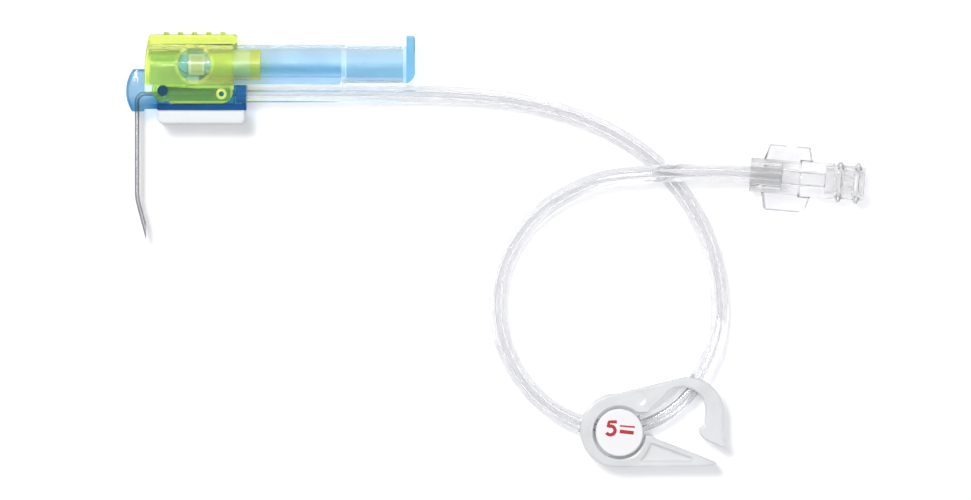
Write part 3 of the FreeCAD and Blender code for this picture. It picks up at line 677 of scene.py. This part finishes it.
# %% The needle
# Millimetres, and places are from the pivot pin.
NEEDLE_RADIUS = 0.45
NEEDLE_BORE = 0.3
SHAFT_X = -5.05
LEG_Y = -0.5
LEG_START = 13.9
BEND = 1.5
HEEL_RADIUS = 10.0
HEEL_TURN = math.radians(15.0)
REACH = 28.42
FLAT_ASIDE = 1.7
NEEDLE_SIDES = 32
LEG_POINTS = 12
BEND_POINTS = 16
HEEL_POINTS = 18
TIP_POINTS = 24
needle_z = pivot.z / MM

# The lowest point is where the outermost line of the tube meets the flat. The heel is placed back from it.
flat_x = SHAFT_X + FLAT_ASIDE
heel_end_x = SHAFT_X + HEEL_RADIUS * (1 - math.cos(HEEL_TURN))
tip_run = (flat_x - heel_end_x + NEEDLE_RADIUS * math.cos(HEEL_TURN)) / math.sin(HEEL_TURN)
heel_end_y = -REACH + NEEDLE_RADIUS * math.sin(HEEL_TURN) + tip_run * math.cos(HEEL_TURN)
heel_start_y = heel_end_y + HEEL_RADIUS * math.sin(HEEL_TURN)


def arc(centre, radius, start, end, steps):
    """Points on a circle about a centre, from one angle to another."""
    angle = np.linspace(start, end, steps)
    return np.column_stack([centre[0] + radius * np.cos(angle), centre[1] + radius * np.sin(angle)])


needle_plan = np.concatenate([
    np.linspace((LEG_START, LEG_Y), (SHAFT_X + BEND, LEG_Y), LEG_POINTS)[:-1],
    arc((SHAFT_X + BEND, LEG_Y - BEND), BEND, math.pi / 2, math.pi, BEND_POINTS),
    np.linspace((SHAFT_X, LEG_Y - BEND), (SHAFT_X, heel_start_y), LEG_POINTS)[1:-1],
    arc((SHAFT_X + HEEL_RADIUS, heel_start_y), HEEL_RADIUS, math.pi, math.pi + HEEL_TURN, HEEL_POINTS),
])
needle_path = np.column_stack([needle_plan, np.full(len(needle_plan), needle_z)])
tip_way = np.array([math.sin(HEEL_TURN), -math.cos(HEEL_TURN), 0.0])


def needle_wall(radius):
    """Rings along the needle, then rings on the straight tip: each of the lines along it runs on by an
    even share of its own way to the ground flat, which is (flat x - line x) over the sine of the turn."""
    body_rings = carried_rings(needle_path, radius, NEEDLE_SIDES)
    start = body_rings[-1]
    own_run = (flat_x - start[:, 0]) / tip_way[0]
    share = np.linspace(0, 1, TIP_POINTS)[1:]
    tip_rings = start[None] + share[:, None, None] * own_run[None, :, None] * tip_way[None, None]
    return (np.concatenate([body_rings, tip_rings]) + [pivot.x / MM, pivot.y / MM, 0]) * MM


needle = hollow("needle_tube", needle_wall(NEEDLE_RADIUS), needle_wall(NEEDLE_BORE))
smooth(needle, 40.0)
finished(needle, steel, "hub", "needle_steel", "needle")

# %% [markdown]
# The pad under the hub is a block of closed-cell foam. Its outline is a rectangle with round lower corners.
# That outline is carried across the set, and at both ends it draws in over a round rim and closes with a
# slight crown, so no face looks machined.

# %% The foam pad
PAD_CORNER = 1.0 * MM
PAD_TOP_CORNER = 0.15 * MM
PAD_RIM = 0.5 * MM
PAD_CROWN = 0.08 * MM
PAD_POINTS = 160
CORNER_POINTS = 9
END_RINGS = 8
RIM_RINGS = 7
PAD_POINT_GAP = 1e-8


def round_outline(half, top, bottom):
    """Even points on a rectangle about its middle. Each corner is its centre plus its radius along an
    angle that runs through a quarter turn."""
    quarter = np.linspace(0, math.pi / 2, CORNER_POINTS)
    corners = [(1, 1, top), (-1, 1, top), (-1, -1, bottom), (1, -1, bottom)]
    arcs = []
    for turn, (side, level, radius) in enumerate(corners):
        angle = quarter + turn * math.pi / 2
        centre = (half - radius) * (side, level)
        arcs.append(centre + radius * np.column_stack([np.cos(angle), np.sin(angle)]))
    loop = np.concatenate([*arcs, arcs[0][:1]])
    way = np.concatenate([[0], np.cumsum(np.linalg.norm(np.diff(loop, axis=0), axis=1))])
    even = np.linspace(0, way[-1], PAD_POINTS, endpoint=False)
    return np.column_stack([np.interp(even, way, loop[:, 0]), np.interp(even, way, loop[:, 1])])


def pad_rings(low, high):
    """Rings from the middle of one end to the middle of the other. On an end, the outline grows by its
    share and lies crown times the share squared deep; on the rim, inset and depth follow a quarter turn."""
    middle, half = (low + high) / 2, (high - low) / 2
    share = np.linspace(0, 1, END_RINGS)
    rim_turn = np.linspace(0, math.pi / 2, RIM_RINGS)[1:]
    inner = (half[:2] - PAD_RIM) / half[:2]
    end_scale = share[:, None] * inner
    rim_scale = (half[:2] - PAD_RIM * (1 - np.sin(rim_turn))[:, None]) / half[:2]
    scale = np.concatenate([end_scale, rim_scale])
    depth = np.concatenate([PAD_CROWN * share ** 2, PAD_CROWN + PAD_RIM * (1 - np.cos(rim_turn))])
    scales = np.concatenate([scale, scale[::-1]])
    levels = np.concatenate([low[2] + depth, (high[2] - depth)[::-1]])
    plan = middle[:2] + scales[:, None] * round_outline(half[:2], PAD_TOP_CORNER, PAD_CORNER)[None]
    return np.concatenate([plan, np.broadcast_to(levels[:, None, None], (*plan.shape[:2], 1))], axis=2)


pad_grid = pad_rings(*(np.array(corner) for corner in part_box("foam_pad")))
pad = surface("foam_block", pad_grid.reshape(-1, 3), ring_faces(len(pad_grid), PAD_POINTS))
with opened(pad.data) as form:
    bmesh.ops.remove_doubles(form, verts=form.verts, dist=PAD_POINT_GAP)
smooth(outward(pad), 40.0)
finished(pad, foam, "hub", "white_foam", "foam_pad")
print("pad points:", len(pad.data.vertices))

# %% [markdown]
# The tubing is 3.3 mm PVC with a bore of about 1 mm. Its route is a list of given points: out of
# the hub, round one loop through the clamp, over its own first strand and into the luer. A NURBS spline
# of third order follows them smoothly. The places are millimetres in the part's own frame.

# %% The route
SOCKET_FLOOR_X = pivot.x / MM + LEG_START
TUBE_LEVEL = pivot.y / MM + LEG_Y
LUER_START = np.array([91.33, -7.22, 3.95])
LUER_TILT = math.radians(4.8)
LEAD_IN = 2.4
LUER_SOCKET = 6.0
ROUTE = [
    (2.7, TUBE_LEVEL, 4.95),
    (17.9, 8.2, 3.60),
    (34.5, 8.1, 1.75),
    (49.8, 6.5, 1.68),
    (64.2, 1.8, 1.68),
    (75.9, -6.6, 1.68),
    (83.8, -19.1, 1.68),
    (86.2, -32.9, 1.70),
    (84.0, -43.0, 3.00),
    (76.4, -53.0, 3.30),
    (63.9, -56.7, 3.30),
    (51.9, -51.9, 2.90),
    (44.0, -41.0, 1.70),
    (42.6, -27.7, 1.68),
    (48.8, -15.5, 1.68),
    (60.8, -8.3, 3.70),
    (71.5, -7.1, 5.55),
    (79.8, -6.9, 5.55),
]
luer_axis = np.array([math.cos(LUER_TILT), -math.sin(LUER_TILT), 0.0])
route = np.array([
    (SOCKET_FLOOR_X, TUBE_LEVEL, needle_z),
    *ROUTE,
    tuple(LUER_START - luer_axis * LEAD_IN),
    tuple(LUER_START + luer_axis * LUER_SOCKET),
]) * MM


def spline_points(points, steps=15):
    """Points along the NURBS spline that has these control points."""
    data = bpy.data.curves.new("route", "CURVE")
    data.dimensions = "3D"
    data.resolution_u = steps
    line = data.splines.new("NURBS")
    line.points.add(len(points) - 1)
    line.points.foreach_set("co", np.column_stack([points, np.ones(len(points))]).ravel())
    line.order_u = 3
    line.use_endpoint_u = True
    carrier = bpy.data.objects.new("route", data)
    bpy.context.scene.collection.objects.link(carrier)
    mesh = bpy.data.meshes.new_from_object(carrier)
    found = np.zeros(len(mesh.vertices) * 3)
    mesh.vertices.foreach_get("co", found)
    bpy.data.objects.remove(carrier)
    bpy.data.curves.remove(data)
    bpy.data.meshes.remove(mesh)
    return found.reshape(-1, 3)


centreline = spline_points(route)
tube_length = float(np.linalg.norm(np.diff(centreline, axis=0), axis=1).sum())
print("tubing length, mm:", round(tube_length / MM, 1), "points:", len(centreline))

# %% [markdown]
# The luer's wings are flat clear plates. Light leaves their rims sideways, so the rims look grey; here that
# grey outline is painted shade. The share of grey is worked out on the luer's own axes: u runs along it and
# w is the distance from its axis.

# %% The luer's rims, with painted shade
UPPER_TIP = (5.75, 5.95)
LOWER_TIP = (-6.1, -6.3)
NEAR_SIDE = (2.35, 2.15)
NEAR_SLANT = 0.2
FAR_SIDE = (12.1, 12.3)
FAR_SLANT = 0.24
WING_FOOT = (3.3, 3.4)
# Painted shade: the grey of the wings' outlines.
WING_RIM_SHADE_TONE = (180, 180, 184)
WING_RIM_SHADE_SHARE = 0.8

luer_dx = luer_clear.along("X") - LUER_START[0] * MM
luer_dy = luer_clear.along("Y") - LUER_START[1] * MM
luer_u = luer_dx * math.cos(LUER_TILT) - luer_dy * math.sin(LUER_TILT)
luer_v = luer_dx * math.sin(LUER_TILT) + luer_dy * math.cos(LUER_TILT)
luer_w = luer_v.size()
tip_rim = rise(luer_v, *UPPER_TIP).at_least(rise(luer_v, *LOWER_TIP))
near_rim = rise(luer_u - luer_w * NEAR_SLANT, *NEAR_SIDE)
far_rim = rise(luer_u + luer_w * FAR_SLANT, *FAR_SIDE)
wing_rim_shade = tip_rim.at_least(near_rim).at_least(far_rim) * rise(luer_w, *WING_FOOT)
luer_clear.paint((wing_rim_shade * WING_RIM_SHADE_SHARE, WING_RIM_SHADE_TONE))
print("luer tilt, degrees:", round(math.degrees(LUER_TILT), 1))

# %% [markdown]
# The tube is carried along the spline twice, once for its outside and once for its bore, so that light
# bends in it as in the real one. It has many sides, because clear plastic shows each flat of a coarser
# round as a streak.

# %% The tube
TUBE_RADIUS = 1.65 * MM
BORE_RADIUS = 0.52 * MM
TUBE_SIDES = 96
tube = hollow("tubing", carried_rings(centreline, TUBE_RADIUS, TUBE_SIDES),
              carried_rings(centreline, BORE_RADIUS, TUBE_SIDES))
smooth(tube, 60.0)
finished(tube, tubing, "hub", "clear_tubing", "extension_tube")

# %% [markdown]
# The disc carries plain red print. A printed stroke is a flat ribbon, made by carrying a short cross line
# along a path. It lies a hundredth of a millimetre above the disc.

# %% Strokes of ink
PRINT_LIFT = 0.012 * MM
INK = 0.01 * MM
print_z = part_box("rating_disc")[1][2] + PRINT_LIFT


def ribbon(path, width, top):
    """A flat stroke along a path in the picture's plane, as points and faces. Each point of the path
    gives a left and a right point, half a width along the path's normal, on a top and a bottom level."""
    along = np.gradient(path, axis=0)
    along /= np.linalg.norm(along, axis=1)[:, None]
    normal = np.column_stack([-along[:, 1], along[:, 0]]) * width / 2
    left, right = path + normal, path - normal
    corners = [(left, top), (right, top), (right, top - INK), (left, top - INK)]
    grid = np.stack([np.column_stack([edge, np.full(len(path), level)]) for edge, level in corners], 1)
    sides = len(corners)
    ends = np.array([range(sides), (len(path) - 1) * sides + np.arange(sides)[::-1]])
    return grid.reshape(-1, 3), np.concatenate([ring_faces(len(path), sides), ends])


def stroke(name, spots, width, top=print_z):
    """A stroke of ink through picture places, width millimetres wide."""
    path = np.array([at_pixel(x, y)[:2] for x, y in spots])
    piece = outward(surface(name, *ribbon(path, width * MM, top)))
    smooth(piece, 20.0)
    return finished(piece, ink_red, "hub", "white_disc")


# %% [markdown]
# The print is one numeral and two small bars. The numeral is two strokes, a flag and a bowl, because one
# ribbon would fold over itself in the corner between them. The bowl lies a little higher, so that the two
# faces don't fight where they cross.

# %% The print on the disc
FLAG_PIXELS = [(616.8, 421.7), (612.5, 421.7), (609.0, 421.8), (608.5, 424.4), (608.1, 427.2)]
BOWL_PIXEL = (610.3, 430.3)
BOWL_REACH = (4.6, 4.4)
BOWL_TURN = (118, -150)
BOWL_POINTS = 26
FLAG_WIDTH = 0.62
BOWL_WIDTH = 0.66
UPPER_BAR_WIDTH = 0.32
LOWER_BAR_WIDTH = 0.7
UPPER_BAR_PIXELS = [(619.8, 425.6), (627.0, 426.3), (634.8, 427.0)]
LOWER_BAR_PIXELS = [(619.6, 431.2), (627.0, 432.0), (633.6, 432.8)]

bowl_turn = np.radians(np.linspace(*BOWL_TURN, BOWL_POINTS))
bowl_pixels = np.column_stack([np.cos(bowl_turn), -np.sin(bowl_turn)]) * BOWL_REACH + BOWL_PIXEL
flag = stroke("numeral_flag", FLAG_PIXELS, FLAG_WIDTH)
curl = stroke("numeral_bowl", bowl_pixels, BOWL_WIDTH, print_z + PRINT_LIFT / 4)
upper_bar = stroke("upper_bar", UPPER_BAR_PIXELS, UPPER_BAR_WIDTH)
lower_bar = stroke("lower_bar", LOWER_BAR_PIXELS, LOWER_BAR_WIDTH)

# %% [markdown]
# The tubing's length and diameter, in millimetres.

# %% The tubing's size
print("cord length and diameter, mm:", round(tube_length / MM, 1), round(2 * TUBE_RADIUS / MM, 1))

# %% [markdown]
# The table is plain and white. It glows a little for the camera and for rays that come through clear
# plastic or off its gloss, so it looks equally white by all three ways, and its shadows stay soft.

# %% Table
TABLE_HALF = 0.6
TABLE_MIDDLE = (0.04, -0.02)
TABLE_LEVEL = -0.02 * MM
TABLE_GLOW = 0.2
table_corners = np.array([(-1, -1), (1, -1), (1, 1), (-1, 1)]) * TABLE_HALF + TABLE_MIDDLE
table_points = np.column_stack([table_corners, np.full(len(table_corners), TABLE_LEVEL)])
floor = surface("table", table_points, np.arange(len(table_points))[None])
table_top = Finish("table_white", (250, 250, 252), Roughness=0.9, Specular_IOR_Level=0.0)
table_rays = table_top.tree.nodes.new("ShaderNodeLightPath")
seen_straight = Signal(table_top.tree, table_rays.outputs["Is Camera Ray"])
seen_through = Signal(table_top.tree, table_rays.outputs["Is Transmission Ray"])
seen_in_gloss = Signal(table_top.tree, table_rays.outputs["Is Glossy Ray"])
table_top.set("Emission Color", (1.0, 1.0, 1.0, 1.0))
table_seen = seen_straight.at_least(seen_through).at_least(seen_in_gloss)
table_top.set("Emission Strength", table_seen * TABLE_GLOW)
floor.data.materials.append(table_top.material)
print("table, m:", 2 * TABLE_HALF)

# %% [markdown]
# A soft lamp stands up and to the left, so shadows fall down and to the right. A broad weak lamp on the
# other side keeps them pale.

# %% Lamps
KEY_PLACE = (-0.22, 0.26, 0.92)
FILL_PLACE = (0.5, -0.3, 0.9)


def lamp(name, place, size, watts):
    """A square soft lamp, size metres wide, at a place seen from the middle of the set, which it lights."""
    data = bpy.data.lights.new(name, "AREA")
    data.shape = "SQUARE"
    data.size = size
    data.energy = watts
    item = bpy.data.objects.new(name, data)
    target = at_pixel(PICTURE[0] / 2, PICTURE[1] / 2, 0)
    item.location = target + Vector(place)
    item.rotation_mode = "QUATERNION"
    item.rotation_quaternion = Vector(place).to_track_quat("Z", "Y")
    bpy.context.scene.collection.objects.link(item)
    print(name, "distance, m:", round(Vector(place).length, 2))


lamp("key_lamp", KEY_PLACE, size=0.22, watts=5.2)
lamp("fill_lamp", FILL_PLACE, size=0.8, watts=1.4)

# %% [markdown]
# The world is bright above and greyer near the horizon: clear plastic bends the view of the horizon into
# its edges, and that is what draws them as thin grey lines. The camera itself sees plain white.

# %% World
ZENITH_SLOPE = 1.6
HORIZON_LEVEL = 0.25
SKY_LIGHT = 0.36
GLOSS_LIGHT = 0.5

world = bpy.data.worlds.new("studio")
world.use_nodes = True
bpy.context.scene.world = world
sky = world.node_tree
background = sky.nodes["Background"]
direction = sky.nodes.new("ShaderNodeTexCoord")
parts = sky.nodes.new("ShaderNodeSeparateXYZ")
sky.links.new(direction.outputs["Generated"], parts.inputs[0])
sky_rays = sky.nodes.new("ShaderNodeLightPath")
camera_ray = Signal(sky, sky_rays.outputs["Is Camera Ray"])
glossy_ray = Signal(sky, sky_rays.outputs["Is Glossy Ray"])
height = Signal(sky, parts.outputs["Z"])
level = (height * ZENITH_SLOPE + HORIZON_LEVEL).at_least(0.0).at_most(1.0)
strength = (SKY_LIGHT + glossy_ray * GLOSS_LIGHT) * level * (1 - camera_ray) + camera_ray
feed(sky, background.inputs["Color"], (1.0, 1.0, 1.0, 1.0))
feed(sky, background.inputs["Strength"], strength)

bpy.context.scene.view_settings.view_transform = "Standard"
print("light straight from above and from the side:", SKY_LIGHT, SKY_LIGHT * HORIZON_LEVEL)

# %% [markdown]
# The last cell brings the scene up to date.

# %% Last update
bpy.context.view_layer.update()
